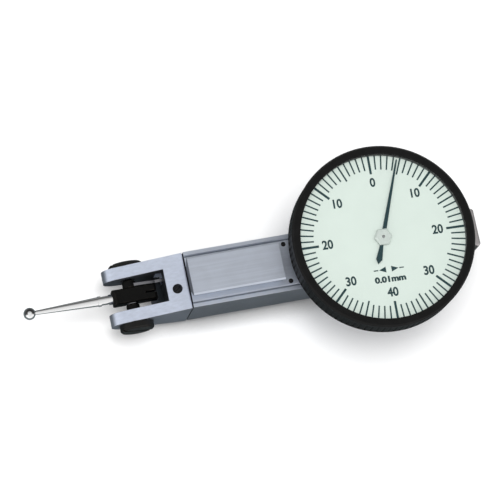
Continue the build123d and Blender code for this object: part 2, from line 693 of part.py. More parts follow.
def hand():
    """Tapered pointer with a flared, pointed tail."""
    tip, root, tail_neck, tail_wide, tail_end = 13.1, 1.0, -1.0, -3.8, -4.6
    half = {tip: 0.11, root: 0.34, tail_neck: 0.24, tail_wide: 0.5}
    right = [(half[y], y) for y in (tip, root, tail_neck, tail_wide)]
    left = [(-x, y) for x, y in reversed(right)]
    pointer = make_face(Polyline(*right, (0, tail_end), *left, (0, tip + 0.15), close=True))
    pointer += Circle(1.0)
    pointer -= Circle(HUB_SLEEVE_RADIUS)
    blade = extrude(pointer, HAND_THICKNESS)
    return Pos(0, 0, HAND_LOW) * Rot(0, 0, -HAND_ANGLE) * blade


def hand_hub():
    """Six-sided bright boss on top of the hand, with a sleeve down through it."""
    top = HAND_LOW + HAND_THICKNESS
    crown = Pos(0, 0, top) * extrude(RegularPolygon(HUB_WIDTH_RADIUS, 6), HUB_TOP - top)
    crown = chamfer(crown.edges().group_by(Axis.Z)[-1], HUB_CHAMFER)
    sleeve = rod(HUB_SLEEVE_RADIUS, (0, 0, DIAL_FACE + 0.1), (0, 0, top))
    return crown + sleeve - rod(CENTRE_PIVOT_RADIUS, (0, 0, DIAL_FACE), (0, 0, HUB_TOP + 1))


# ---- Movement frame ----
def movement_plate(side):
    """Thin side plate that carries the jewels of the lever and the crown arbor."""
    outline = Pos((PLATE_FRONT + PLATE_REAR) / 2, (PLATE_LOW + PLATE_HIGH) / 2) * RectangleRounded(
        PLATE_REAR - PLATE_FRONT, PLATE_HIGH - PLATE_LOW, 0.6
    )
    for x in (LEVER_X, 0):
        outline -= Pos(x, PIVOT_Z) * Circle(JEWEL_RADIUS)
    outline -= Pos(-11, PIVOT_Z) * SlotOverall(11, 4.4)
    low, high = sorted((side * PLATE_INNER_Y, side * PLATE_OUTER_Y))
    plate = side_plate(outline, low, high)
    rows = [row for row in PLATE_SCREWS + BRIDGE_SCREWS if row[3][1] * side > 0]
    return without_screws(plate, rows)


def spacer(x, low):
    half = SPACER_LENGTH_X / 2
    return block((x - half, -PLATE_INNER_Y, low), (x + half, PLATE_INNER_Y, low + SPACER_HEIGHT))


def movement_spacers():
    lower = [spacer(x, FLOOR_TOP) for x in LOWER_SPACERS_X]
    upper = [spacer(x, COVER_LOW - 0.1 - SPACER_HEIGHT) for x in UPPER_SPACERS_X]
    rows = PLATE_SCREWS + MOVEMENT_SCREWS + COVER_SCREWS
    return Compound([without_screws(piece, rows) for piece in lower + upper])


def centre_bridge():
    """Shelf under the centre pinion, screwed to the left movement plate."""
    tip_radius = 0.8
    tongue = Circle(tip_radius) + Pos(0, -PLATE_INNER_Y / 2) * Rectangle(2 * tip_radius, PLATE_INNER_Y)
    shelf = Pos(0, 0, CENTRE_BRIDGE_LOW) * extrude(tongue, CENTRE_BRIDGE_HIGH - CENTRE_BRIDGE_LOW)
    shelf += block((-1.9, -PLATE_INNER_Y, CENTRE_BRIDGE_LOW), (1.9, -2.85, 12.0))
    shelf -= rod(CENTRE_JEWEL_RADIUS, (0, 0, CENTRE_BRIDGE_LOW), (0, 0, CENTRE_BRIDGE_HIGH))
    return without_screws(shelf, BRIDGE_SCREWS)


def centre_lower_jewel():
    hole = CENTRE_LOWER_PIVOT + RUNNING_CLEARANCE
    return tube(CENTRE_JEWEL_RADIUS, hole, (0, 0, CENTRE_BRIDGE_LOW), (0, 0, CENTRE_BRIDGE_HIGH))


def centre_upper_jewel():
    hole = CENTRE_PIVOT_RADIUS + RUNNING_CLEARANCE
    return tube(JEWEL_RADIUS, hole, (0, 0, DIAL_BRIDGE_LOW), (0, 0, DIAL_BRIDGE_HIGH))


# ---- Dial case ----
def dial_case():
    """Cup on the casing: a floor, a thin wall and a wider rim that guides the bezel."""
    rim = BEZEL_SKIRT_RADIUS - BEZEL_CLEARANCE
    inner = DIAL_CASE_RADIUS - DIAL_CASE_WALL
    groove = rim - 0.3
    section = [
        (1.2, CASE_TOP),
        (DIAL_CASE_RADIUS, CASE_TOP),
        (DIAL_CASE_RADIUS, DIAL_CASE_FLANGE_Z),
        (rim, DIAL_CASE_FLANGE_Z),
        (rim, WIRE_LOW),
        (groove, WIRE_LOW),
        (groove, WIRE_HIGH),
        (rim, WIRE_HIGH),
        (rim, DIAL_CASE_TOP),
        (inner, DIAL_CASE_TOP),
        (inner, DIAL_FLOOR_TOP),
        (1.2, DIAL_FLOOR_TOP),
    ]
    return without_screws(ring_section(section), DIAL_CASE_SCREWS)


def bezel_wire():
    """Open spring ring, half in the dial case's groove and half in the bezel's."""
    inner = BEZEL_SKIRT_RADIUS - BEZEL_CLEARANCE - 0.27
    outer = BEZEL_SKIRT_RADIUS + 0.2
    margin = 0.04
    ring = tube(outer, inner, (0, 0, WIRE_LOW + margin), (0, 0, WIRE_HIGH - margin))
    gap = block((-outer - 1, -1.2, WIRE_LOW), (-inner + 1, 1.2, WIRE_HIGH))
    return ring - gap


def dial_bridge():
    half_height = 1.7
    bar = SlotOverall(2 * (DIAL_PILLAR_X + half_height), 2 * half_height)
    bar = Pos(0, 0, DIAL_BRIDGE_LOW) * extrude(bar, DIAL_BRIDGE_HIGH - DIAL_BRIDGE_LOW)
    bar -= rod(JEWEL_RADIUS, (0, 0, DIAL_BRIDGE_LOW), (0, 0, DIAL_BRIDGE_HIGH))
    return without_screws(bar, DIAL_BRIDGE_SCREWS)


def dial_bridge_pillars():
    pillars = [
        rod(1.0, (x, 0, DIAL_FLOOR_TOP), (x, 0, DIAL_BRIDGE_LOW)) for x in (-DIAL_PILLAR_X, DIAL_PILLAR_X)
    ]
    return Compound([without_screws(pillar, DIAL_BRIDGE_SCREWS) for pillar in pillars])


# ---- Bezel ----
def bezel():
    """Black ring with a lip over the crystal and straight flutes round its side."""
    skirt = BEZEL_SKIRT_RADIUS
    groove = skirt + 0.25
    section = [
        (skirt, BEZEL_BOTTOM),
        (BEZEL_RADIUS - BEZEL_CHAMFER, BEZEL_BOTTOM),
        (BEZEL_RADIUS, BEZEL_BOTTOM + BEZEL_CHAMFER),
        (BEZEL_RADIUS, BEZEL_TOP - BEZEL_CHAMFER),
        (BEZEL_RADIUS - BEZEL_CHAMFER, BEZEL_TOP),
        (OPENING_RADIUS + 0.12, BEZEL_TOP),
        (OPENING_RADIUS, BEZEL_TOP - 0.12),
        (OPENING_RADIUS, LIP_LOW),
        (skirt, LIP_LOW),
        (skirt, DIAL_LOW),
        (groove, DIAL_LOW),
        (groove, DIAL_LOW - SNAP_RING_HEIGHT),
        (skirt, DIAL_LOW - SNAP_RING_HEIGHT),
        (skirt, WIRE_HIGH),
        (groove, WIRE_HIGH),
        (groove, WIRE_LOW),
        (skirt, WIRE_LOW),
    ]
    flute = Pos(BEZEL_RADIUS + FLUTE_RADIUS - FLUTE_DEPTH, 0) * Circle(FLUTE_RADIUS)
    flutes = Sketch() + [Rot(0, 0, 360 * k / FLUTE_COUNT) * flute for k in range(FLUTE_COUNT)]
    cutters = Pos(0, 0, FLUTE_LOW) * extrude(flutes, FLUTE_HIGH - FLUTE_LOW)
    return ring_section(section) - cutters


def crystal():
    return rod(CRYSTAL_RADIUS, (0, 0, CRYSTAL_LOW), (0, 0, LIP_LOW))


def crystal_gasket():
    return tube(CRYSTAL_RADIUS + GASKET_WIDTH, CRYSTAL_RADIUS, (0, 0, CRYSTAL_LOW), (0, 0, LIP_LOW))


def crystal_spacer():
    """Black ring that keeps the crystal and the dial apart."""
    return tube(BEZEL_SKIRT_RADIUS - 0.05, OPENING_RADIUS, (0, 0, DIAL_FACE), (0, 0, CRYSTAL_LOW))


def dial_plate():
    return tube(BEZEL_SKIRT_RADIUS - 0.05, 0.8, (0, 0, DIAL_LOW), (0, 0, DIAL_FACE))


def dial_snap_ring():
    top = DIAL_LOW
    ring = tube(BEZEL_SKIRT_RADIUS + 0.2, 13.3, (0, 0, top - SNAP_RING_HEIGHT), (0, 0, top))
    return ring - block((12, -1.5, top - 1), (16, 1.5, top + 1))


PIECES = {
    "casing": casing,
    "cover_plate": cover_plate,
    "cover_screws": lambda: screws(COVER_SCREWS),
    "rear_dovetail": rear_dovetail,
    "rear_dovetail_screws": lambda: screws(REAR_SCREWS),
    "nose_block": nose_block,
    "nose_screws": lambda: screws(NOSE_SCREWS),
    "nose_set_screw": nose_set_screw,
    "bearing_screw_right": lambda: bearing_screw(-1),
    "bearing_screw_left": lambda: bearing_screw(1),
    "rocker_jewels": rocker_jewels,
    "rocker_axle": rocker_axle,
    "rocker_hub": rocker_hub,
    "rocker_arm": rocker_arm,
    "drive_pin": drive_pin,
    "friction_hub": friction_hub,
    "friction_washer": friction_washer,
    "swivel_block": swivel_block,
    "stylus_shank": stylus_shank,
    "contact_ball": contact_ball,
    "sector_lever": sector_lever,
    "lever_arbor": lambda: cross_arbor(LEVER_X, LEVER_ARBOR_RADIUS),
    "lever_jewels": lambda: cross_jewels(LEVER_X),
    "crown_wheel": crown_wheel,
    "crown_pinion": crown_pinion,
    "crown_arbor": lambda: cross_arbor(0, CROWN_ARBOR_RADIUS),
    "crown_jewels": lambda: cross_jewels(0),
    "centre_pinion": centre_pinion,
    "centre_bridge": centre_bridge,
    "centre_bridge_screws": lambda: screws(BRIDGE_SCREWS),
    "centre_lower_jewel": centre_lower_jewel,
    "centre_upper_jewel": centre_upper_jewel,
    "movement_plate_left": lambda: movement_plate(1),
    "movement_plate_right": lambda: movement_plate(-1),
    "movement_plate_screws": lambda: screws(PLATE_SCREWS),
    "movement_spacers": movement_spacers,
    "movement_screws": lambda: screws(MOVEMENT_SCREWS),
    "hairspring": hairspring,
    "hairspring_collet": hairspring_collet,
    "hairspring_stud": hairspring_stud,
    "hand": hand,
    "hand_hub": hand_hub,
    "dial_case": dial_case,
    "dial_case_screws": lambda: screws(DIAL_CASE_SCREWS),
    "dial_bridge": dial_bridge,
    "dial_bridge_pillars": dial_bridge_pillars,
    "dial_bridge_screws": lambda: screws(DIAL_BRIDGE_SCREWS),
    "bezel_wire": bezel_wire,
    "bezel": bezel,
    "crystal": crystal,
    "crystal_gasket": crystal_gasket,
    "crystal_spacer": crystal_spacer,
    "dial_plate": dial_plate,
    "dial_snap_ring": dial_snap_ring,
}

os.makedirs("parts", exist_ok=True)
for name, make in PIECES.items():
    export_step(make(), f"parts/{name}.step")
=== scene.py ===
"""Looks of a lever-type dial test indicator: finishes, dial markings, floor, light and camera."""

import math
import bmesh
import bpy
from mathutils import Matrix, Vector


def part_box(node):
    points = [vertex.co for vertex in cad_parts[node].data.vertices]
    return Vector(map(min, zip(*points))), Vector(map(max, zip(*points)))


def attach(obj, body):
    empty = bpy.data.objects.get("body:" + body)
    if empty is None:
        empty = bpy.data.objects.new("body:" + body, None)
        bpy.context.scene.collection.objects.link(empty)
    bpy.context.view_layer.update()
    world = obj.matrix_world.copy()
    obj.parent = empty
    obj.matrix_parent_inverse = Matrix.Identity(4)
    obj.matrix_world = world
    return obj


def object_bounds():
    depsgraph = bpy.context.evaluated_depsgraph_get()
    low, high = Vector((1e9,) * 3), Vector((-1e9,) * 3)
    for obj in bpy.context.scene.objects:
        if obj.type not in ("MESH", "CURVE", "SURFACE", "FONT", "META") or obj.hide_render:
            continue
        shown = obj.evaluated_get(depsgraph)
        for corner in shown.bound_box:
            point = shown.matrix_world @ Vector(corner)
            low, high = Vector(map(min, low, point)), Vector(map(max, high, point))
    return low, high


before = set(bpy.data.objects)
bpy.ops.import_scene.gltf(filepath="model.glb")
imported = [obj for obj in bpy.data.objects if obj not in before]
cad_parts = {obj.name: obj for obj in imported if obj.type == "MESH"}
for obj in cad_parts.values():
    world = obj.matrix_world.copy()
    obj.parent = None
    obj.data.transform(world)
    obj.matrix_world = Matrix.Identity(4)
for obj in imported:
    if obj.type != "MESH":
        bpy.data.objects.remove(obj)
CAD_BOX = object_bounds()
MM = 0.001

# Dial markings on the dial face: millimetres, degrees, and stroke and width factors of the lettering.
DIVISIONS = 80
NUMBERED_EVERY = 10
MIDDLE_EVERY = 5
TICK_OUTER = 13.6
TICK_INNER = {"ten": 10.6, "five": 10.8, "one": 11.3}
TICK_WIDTH = {"ten": 0.38, "five": 0.26, "one": 0.24}
NUMERAL_RADIUS = 9.15
NUMERAL_HEIGHT = 1.45
NUMERAL_WIDENING = 0.9
NUMERAL_WEIGHT = 0.045
UNIT_CENTRE_Y = -6.95
UNIT_HEIGHT = 0.95
UNIT_WIDENING = 1.2
UNIT_WEIGHT = 0.075
ARROW_CENTRE_Y = -5.3
ARROW_BASE = 0.46
ARROW_TIP = 1.6
ARROW_HALF_HEIGHT = 0.48
DASH_INNER = 1.75
DASH_OUTER = 2.5
DASH_HALF_HEIGHT = 0.09
INK_THICKNESS = 0.02
DIAL_SETTING = 1.7
FONT_SIZE_PER_CAPITAL = 1.38
FONT_STEPS = 6
MERGE_DISTANCE = 0.0001

# The slot between the nose block's ears and the cover plate's end face, both with painted shade:
# millimetres, and shares of the colour that the painted shade takes.
SLOT_HALF_WIDTH = 2.67
SLOT_BACK = -34.97
SHADE_FULL_FROM_BACK = 2
SHADE_THIN_FROM_BACK = 6
SHADE_THIN_SHARE = 0.45
END_FACE_DEPTH = 0.02
END_FACE_SHADE = 0.75

# Camera: where it stands around the dial, in degrees and millimetres.
CAMERA_AZIMUTH = -41.55
CAMERA_ELEVATION = 74.95
CAMERA_ROLL = 30.7
CAMERA_DISTANCE = 485.1
CAMERA_TARGET = Vector((-20.97, 2.55, 16.0))
CAMERA_LENS = 216
SENSOR_WIDTH = 36
CLIP_START = 0.01

# Light. The sky's strength is the sum of ramps from the horizon to the zenith, towards the stylus
# and across the body. Each ramp is axis, from low, from high, to low, to high.
SKY_RAMPS = [
    ("Z", 0.0, 0.9, 1.0, 0.76),
    ("X", -1.0, 0.0, 0.2, 0.0),
    ("Y", -0.1, 0.7, 0.2, -0.4),
]
KEY_DIRECTION = (-0.05, 0.02, 1.0)
KEY_DISTANCE = 500
KEY_SIZE = 220
KEY_WATTS = 1.9

# Floor, millimetres, with a painted contact shadow. Metal mirrors a floor painted darker near the object
# than far from it: the reach is a distance from the object's centre, counted in NEAR_FLOOR sizes along X,
# Y and Z.
FLOOR_SIZE = 4000
FLOOR_THICKNESS = 5
FLOOR_GAP = 0.02
FLOOR_TONE = (0.94, 0.96)
CONTACT_REACH = 5
CONTACT_SHARE = 0.6
NEAR_FLOOR = (70, 25, 1e6)
NEAR_REACH = (1.0, 3.0)

# How much of the colour is lost to painted dark reflections: where satin metal mirrors the ground, and
# where finely scratched polish mirrors the dark side of the studio.
GROUND_REFLECTION_SHADE_SHARE = 0.6
FAINT_REFLECTION_SHADE_SHARE = 0.72

# Edge and corner sensing: samples, and how alike rounded and straight normals are on flats and edges.
NODE_SAMPLES = 6
FLAT_ALIKE = 0.985
EDGE_ALIKE = 0.86

# Tool marks, features a millimetre, and their height against the speckle under them.
BRUSHING_PER_MM = 14
TURNING_PER_MM = 16
MARK_WEIGHT = 1.6
COAT_TURNING_PER_MM = 12
COAT_MARK_WEIGHT = 1.4

# Worn edges, painted shade in corners and in the slot, and dust: millimetres, and factors on the colour
# there.
METAL_EDGE = 0.08
COAT_EDGE = 0.09
EDGE_SHINE = 1.5
CORNER_REACH = 0.35
CORNER_SHARE = 0.55
DARKENED = 0.08
PAINTED_SHADE_FACTOR = 0.1
DUST_SHARE = 0.12

CRYSTAL_IOR = 1.49
RUBY_IOR = 1.76


class Graph:
    """One node material under construction. An input is a value or another node's output."""

    def __init__(self, name):
        self.material = bpy.data.materials.new(name)
        self.material.use_nodes = True
        self.tree = self.material.node_tree
        self.tree.nodes.clear()
        place = self.node("TexCoord").outputs["Object"]
        self.place = self.vector("SCALE", place, scale=1 / MM)

    def feed(self, socket, value):
        if isinstance(value, bpy.types.NodeSocket):
            self.tree.links.new(value, socket)
        else:
            socket.default_value = value

    def node(self, kind, inputs=None, **settings):
        node = self.tree.nodes.new("ShaderNode" + kind)
        for name, value in settings.items():
            setattr(node, name, value)
        for name, value in (inputs or {}).items():
            self.feed(node.inputs[name], value)
        return node

    def vector(self, operation, a, b=None, scale=None):
        node = self.node("VectorMath", {0: a}, operation=operation)
        if b is not None:
            self.feed(node.inputs[1], b)
        if scale is not None:
            self.feed(node.inputs["Scale"], scale)
        is_number = operation in ("LENGTH", "DOT_PRODUCT")
        return node.outputs["Value" if is_number else "Vector"]

    def math(self, operation, a, b=0.0):
        return self.node("Math", {0: a, 1: b}, operation=operation).outputs[0]

    def along(self, axis):
        """Position along an axis, in millimetres."""
        return self.node("SeparateXYZ", {"Vector": self.place}).outputs[axis]

    def spread(self, value, low, high, to_low=0.0, to_high=1.0):
        """Maps low..high to to_low..to_high, clamped."""
        inputs = {"Value": value, "From Min": low, "From Max": high, "To Min": to_low, "To Max": to_high}
        return self.node("MapRange", inputs, clamp=True).outputs["Result"]

    def noise(self, per_mm, stretch=(1, 1, 1), detail=3.0, distortion=0.0):
        """Noise with per_mm features a millimetre, stretched along the axes with small numbers."""
        place = self.vector("MULTIPLY", self.place, stretch)
        inputs = {"Vector": place, "Scale": per_mm, "Detail": detail, "Distortion": distortion}
        return self.node("TexNoise", inputs).outputs["Fac"]

    def rings(self, centre, axis, per_mm):
        """Fine rings around an axis through centre, as a lathe tool leaves them."""
        arm = self.vector("SUBTRACT", self.place, centre)
        radius = self.vector("LENGTH", self.vector("CROSS_PRODUCT", arm, axis))
        inputs = {"W": radius, "Scale": per_mm, "Detail": 2.0}
        return self.node("TexNoise", inputs, noise_dimensions="1D").outputs["Fac"]

    def tint(self, factor, a, b):
        node = self.node("Mix", data_type="RGBA")
        colour_inputs = [socket for socket in node.inputs if socket.type == "RGBA"]
        self.feed(node.inputs["Factor"], factor)
        self.feed(colour_inputs[0], a)
        self.feed(colour_inputs[1], b)
        return [socket for socket in node.outputs if socket.type == "RGBA"][0]

    def mirrored(self):
        """Where a perfect mirror would send the eye's ray, as X, Y and Z outputs."""
        ray = self.node("TexCoord").outputs["Reflection"]
        return self.node("SeparateXYZ", {"Vector": ray}).outputs

    def edges(self, radius_mm):
        """(rounded normal, mask that is 1 on outer and inner edges) for edges of that radius."""
        rounded = self.node("Bevel", {"Radius": radius_mm * MM}, samples=NODE_SAMPLES).outputs["Normal"]
        straight = self.node("NewGeometry").outputs["Normal"]
        alike = self.vector("DOT_PRODUCT", rounded, straight)
        return rounded, self.spread(alike, FLAT_ALIKE, EDGE_ALIKE)

    def crevices(self, reach_mm):
        """1 in the open, towards 0 in corners and gaps."""
        inputs = {"Distance": reach_mm * MM}
        return self.node("AmbientOcclusion", inputs, samples=NODE_SAMPLES).outputs["AO"]

    def bump(self, height, depth_mm, normal=None):
        inputs = {"Height": height, "Strength": 1.0, "Distance": depth_mm * MM}
        if normal is not None:
            inputs["Normal"] = normal
        return self.node("Bump", inputs).outputs["Normal"]

    def output(self, shader):
        self.node("OutputMaterial", {"Surface": shader})
        return self.material

    def principled(self, **inputs):
        named = {name.replace("_", " "): value for name, value in inputs.items()}
        return self.output(self.node("BsdfPrincipled", named).outputs["BSDF"])


def rgba(red, green, blue):
    return (red, green, blue, 1.0)


def scaled(colour, factor):
    return tuple(min(1.0, channel * factor) for channel in colour[:3]) + (1.0,)


def metal(
    name,
    colour,
    roughness,
    lines=None,
    rings=None,
    grain=0.0015,
    wear=0.35,
    shade_mask=None,
    corner_shade_weight=1.0,
    metallic=1.0,
    mottle=0.06,
    painted_reflection=None,
):
    """Machined metal. lines stretches brushing along an axis, rings is (centre, axis) of turning.

    grain is the marks' depth in millimetres, wear how bright the edges rub, and mottle how far the colour
    varies. A further weight sets how much painted shade darkens the corners. Two optional functions of the
    graph give 1 where painted shade darkens the metal, and where a painted dark reflection darkens it.
    """
    graph = Graph(name)
    rounded, edge = graph.edges(METAL_EDGE)
    cloud = graph.noise(per_mm=0.35, detail=5, distortion=0.6)
    height = graph.noise(per_mm=9, detail=4)
    if lines:
        stroke = graph.noise(BRUSHING_PER_MM, stretch=lines, detail=4)
        height = graph.math("ADD", height, graph.math("MULTIPLY", stroke, MARK_WEIGHT))
    if rings:
        turned = graph.rings(*rings, per_mm=TURNING_PER_MM)
        height = graph.math("ADD", height, graph.math("MULTIPLY", turned, MARK_WEIGHT))
    hairs = graph.noise(per_mm=2.2, stretch=(0.25, 1, 0.6), detail=6, distortion=1.5)
    scratches = graph.spread(hairs, low=0.62, high=0.7)
    rub = graph.math("MULTIPLY", edge, graph.spread(graph.noise(per_mm=1.1, detail=4), low=0.3, high=0.6))
    patch = graph.noise(per_mm=2.6, stretch=lines or (1, 1, 1), detail=5, distortion=0.3)
    blend = graph.math("ADD", graph.math("MULTIPLY", cloud, 0.4), graph.math("MULTIPLY", patch, 0.6))
    mottling = graph.spread(blend, low=0.38, high=0.62)
    shade = graph.tint(mottling, scaled(colour, 1 - mottle), scaled(colour, 1 + mottle))
    shade = graph.tint(graph.math("MULTIPLY", rub, wear), shade, scaled(colour, EDGE_SHINE))
    # Painted shade: ambient occlusion darkens corners and gaps, where shade falls.
    corner = graph.spread(
        graph.crevices(CORNER_REACH), low=0.35, high=0.85, to_low=CORNER_SHARE * corner_shade_weight, to_high=0.0
    )
    shade = graph.tint(corner, shade, scaled(colour, DARKENED))
    # Painted shade where the given mask says so: in the nose block's slot and on the cover plate's end
    # face.
    if shade_mask:
        shade = graph.tint(shade_mask(graph), shade, scaled(colour, PAINTED_SHADE_FACTOR))
    # Painted reflection: the colour is darker where the metal mirrors something dark.
    if painted_reflection:
        shade = graph.tint(painted_reflection(graph), shade, scaled(colour, DARKENED))
    gloss = graph.spread(cloud, 0.3, 0.7, roughness * 0.92, roughness * 1.1)
    gloss = graph.math("SUBTRACT", gloss, graph.math("MULTIPLY", scratches, roughness * 0.12))
    gloss = graph.math("SUBTRACT", gloss, graph.math("MULTIPLY", rub, roughness * 0.3))
    return graph.principled(
        Base_Color=shade,
        Metallic=metallic,
        Roughness=gloss,
        Normal=graph.bump(height, grain, rounded),
    )


def black_coat(name, colour, roughness, worn, specular=0.2, grain=0.002, rings=None, wear=0.6):
    """Black oxide, anodising or paint that has rubbed thin on its edges."""
    graph = Graph(name)
    rounded, edge = graph.edges(COAT_EDGE)
    cloud = graph.noise(per_mm=0.5, detail=5, distortion=0.4)
    speckle = graph.noise(per_mm=11, detail=5)
    height = speckle
    if rings:
        turned = graph.rings(*rings, per_mm=COAT_TURNING_PER_MM)
        height = graph.math("ADD", height, graph.math("MULTIPLY", turned, COAT_MARK_WEIGHT))
    patch = graph.spread(graph.noise(per_mm=1.6, detail=5), low=0.42, high=0.62)
    rub = graph.math("MULTIPLY", graph.math("MULTIPLY", edge, patch), wear)
    shade = graph.tint(graph.spread(cloud, 0.3, 0.7), scaled(colour, 0.75), scaled(colour, 1.35))
    shade = graph.tint(rub, shade, worn)
    dust = graph.math("MULTIPLY", graph.spread(speckle, low=0.66, high=0.74), DUST_SHARE)
    shade = graph.tint(dust, shade, rgba(0.25, 0.25, 0.24))
    gloss = graph.spread(cloud, 0.3, 0.7, roughness * 0.88, roughness * 1.12)
    return graph.principled(
        Base_Color=shade,
        Specular_IOR_Level=specular,
        Roughness=graph.math("SUBTRACT", gloss, graph.math("MULTIPLY", rub, roughness * 0.25)),
        Normal=graph.bump(height, grain, rounded),
    )


def enamel(name, colour, roughness):
    """Smooth printed or sprayed coat with a faint orange-peel surface."""
    graph = Graph(name)
    cloud = graph.noise(per_mm=0.3, detail=4)
    peel = graph.noise(per_mm=6, detail=3)
    shade = graph.tint(graph.spread(cloud, 0.3, 0.7), scaled(colour, 0.985), scaled(colour, 1.01))
    return graph.principled(
        Base_Color=shade,
        Specular_IOR_Level=0.3,
        Roughness=graph.spread(peel, 0.3, 0.7, roughness * 0.9, roughness * 1.1),
        Normal=graph.bump(peel, 0.0012),
    )


def ink(name, colour):
    """Printed ink, a little uneven in density."""
    graph = Graph(name)
    density = graph.spread(graph.noise(per_mm=5, detail=4), low=0.35, high=0.65)
    shade = graph.tint(density, scaled(colour, 1.5), scaled(colour, 0.85))
    gloss = graph.spread(density, low=0, high=1, to_low=0.5, to_high=0.38)
    return graph.principled(Base_Color=shade, Specular_IOR_Level=0.2, Roughness=gloss)


def clear_crystal(name):
    """Clear pane that lets light straight through and mirrors a little, with a trace of handling.

    Only faces that the light enters by mirror, because the unbent ray inside would mirror fully.
    """
    graph = Graph(name)
    wiped = graph.noise(per_mm=0.22, stretch=(1, 0.6, 1), detail=6, distortion=1.2)
    smear = graph.spread(wiped, low=0.45, high=0.75, to_low=0.02, to_high=0.16)
    through = graph.node("BsdfTransparent", {"Color": rgba(0.975, 0.99, 0.985)})
    mirror = graph.node("BsdfGlossy", {"Roughness": smear})
    share = graph.node("Fresnel", {"IOR": CRYSTAL_IOR}).outputs["Fac"]
    entering = graph.math("SUBTRACT", 1.0, graph.node("NewGeometry").outputs["Backfacing"])
    mirrored = graph.math("MULTIPLY", share, entering)
    mixed = graph.node("MixShader", {0: mirrored, 1: through.outputs[0], 2: mirror.outputs[0]})
    return graph.output(mixed.outputs[0])


def jewel(name):
    """Synthetic ruby, translucent with a soft clouding inside."""
    graph = Graph(name)
    rounded, edge = graph.edges(radius_mm=0.05)
    cloud = graph.noise(per_mm=2.5, detail=4, distortion=0.8)
    shade = graph.tint(graph.spread(cloud, 0.35, 0.65), rgba(0.45, 0.01, 0.04), rgba(0.75, 0.05, 0.14))
    return graph.principled(
        # Paler edges: a painted highlight.
        Base_Color=graph.tint(graph.math("MULTIPLY", edge, 0.3), shade, rgba(0.9, 0.3, 0.36)),
        Roughness=graph.spread(cloud, 0.3, 0.7, 0.04, 0.1),
        IOR=RUBY_IOR,
        Transmission_Weight=0.55,
        Normal=graph.bump(cloud, 0.0006, rounded),
    )


def rubber(name, colour, roughness):
    """Black rubber or plastic with a fine moulded texture."""
    graph = Graph(name)
    rounded, _ = graph.edges(radius_mm=0.05)
    skin = graph.noise(per_mm=16, detail=4)
    bloom = graph.spread(graph.noise(per_mm=0.8, detail=4), low=0.35, high=0.7)
    return graph.principled(
        Base_Color=graph.tint(bloom, colour, scaled(colour, 1.8)),
        Roughness=graph.spread(skin, 0.3, 0.7, roughness * 0.9, roughness),
        Normal=graph.bump(skin, 0.004, rounded),
    )


def middle(node):
    low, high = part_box(node)
    return tuple((low + high) / 2 / MM)


DIAL_AXIS = ((0, 0, 0), (0, 0, 1))
PIVOT_AXIS = (middle("rocker_axle"), (0, 1, 0))
ALONG_X = (0.03, 1, 1)
ALONG_Y = (1, 0.03, 1)
ALONG_Z = (1, 1, 0.03)

CHROME = rgba(0.59, 0.635, 0.72)
NOSE_CHROME = rgba(0.70, 0.76, 0.89)
STEEL = rgba(0.9, 0.9, 0.92)
ANODISED = rgba(0.004, 0.004, 0.004)
OXIDE = rgba(0.003, 0.003, 0.0028)
OXIDE_WORN = rgba(0.09, 0.075, 0.06)


def inside_slot(graph):
    """Up to 1 on the walls of the slot between the nose block's ears, 0 on its outer faces: painted shade,
    fullest near the slot's back.
    """
    across = graph.math("LESS_THAN", graph.math("ABSOLUTE", graph.along("Y")), SLOT_HALF_WIDTH)
    ahead = graph.math("LESS_THAN", graph.along("X"), SLOT_BACK)
    thin, full = SLOT_BACK - SHADE_THIN_FROM_BACK, SLOT_BACK - SHADE_FULL_FROM_BACK
    depth = graph.spread(graph.along("X"), thin, full, to_low=SHADE_THIN_SHARE)
    return graph.math("MULTIPLY", graph.math("MULTIPLY", across, ahead), depth)


def below_horizon(graph):
    """Partly 1 where satin metal mirrors the ground close to the instrument, for a painted dark
    reflection.
    """
    return graph.spread(graph.mirrored()["Z"], low=0.1, high=-0.5, to_high=GROUND_REFLECTION_SHADE_SHARE)


def black_flag(graph):
    """1 where polished metal mirrors the dark side of the studio, behind the instrument, for a painted
    dark reflection.
    """
    ray = graph.mirrored()
    side = graph.spread(ray["Y"], low=-0.45, high=-0.1)
    above = graph.spread(ray["Z"], low=-0.45, high=-0.2)
    below = graph.spread(ray["Z"], low=0.86, high=0.7)
    return graph.math("MULTIPLY", graph.math("MULTIPLY", above, below), side)


def pale_flag(graph):
    """The same painted dark reflection, fainter, for a finely scratched surface."""
    return graph.math("MULTIPLY", black_flag(graph), FAINT_REFLECTION_SHADE_SHARE)


def front_end(graph):
    """Partly 1 on the cover plate's front end face, which meets the nose block: painted shade on that
    face.
    """
    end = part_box("cover_plate")[0].x / MM
    on_end = graph.math("LESS_THAN", graph.along("X"), end + END_FACE_DEPTH)
    return graph.math("MULTIPLY", on_end, END_FACE_SHADE)


def paint(material, *nodes):
    """Gives CAD nodes a finish in place of the one they were packed with."""
    for node in nodes:
        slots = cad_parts[node].data.materials
        slots.clear()
        slots.append(material)


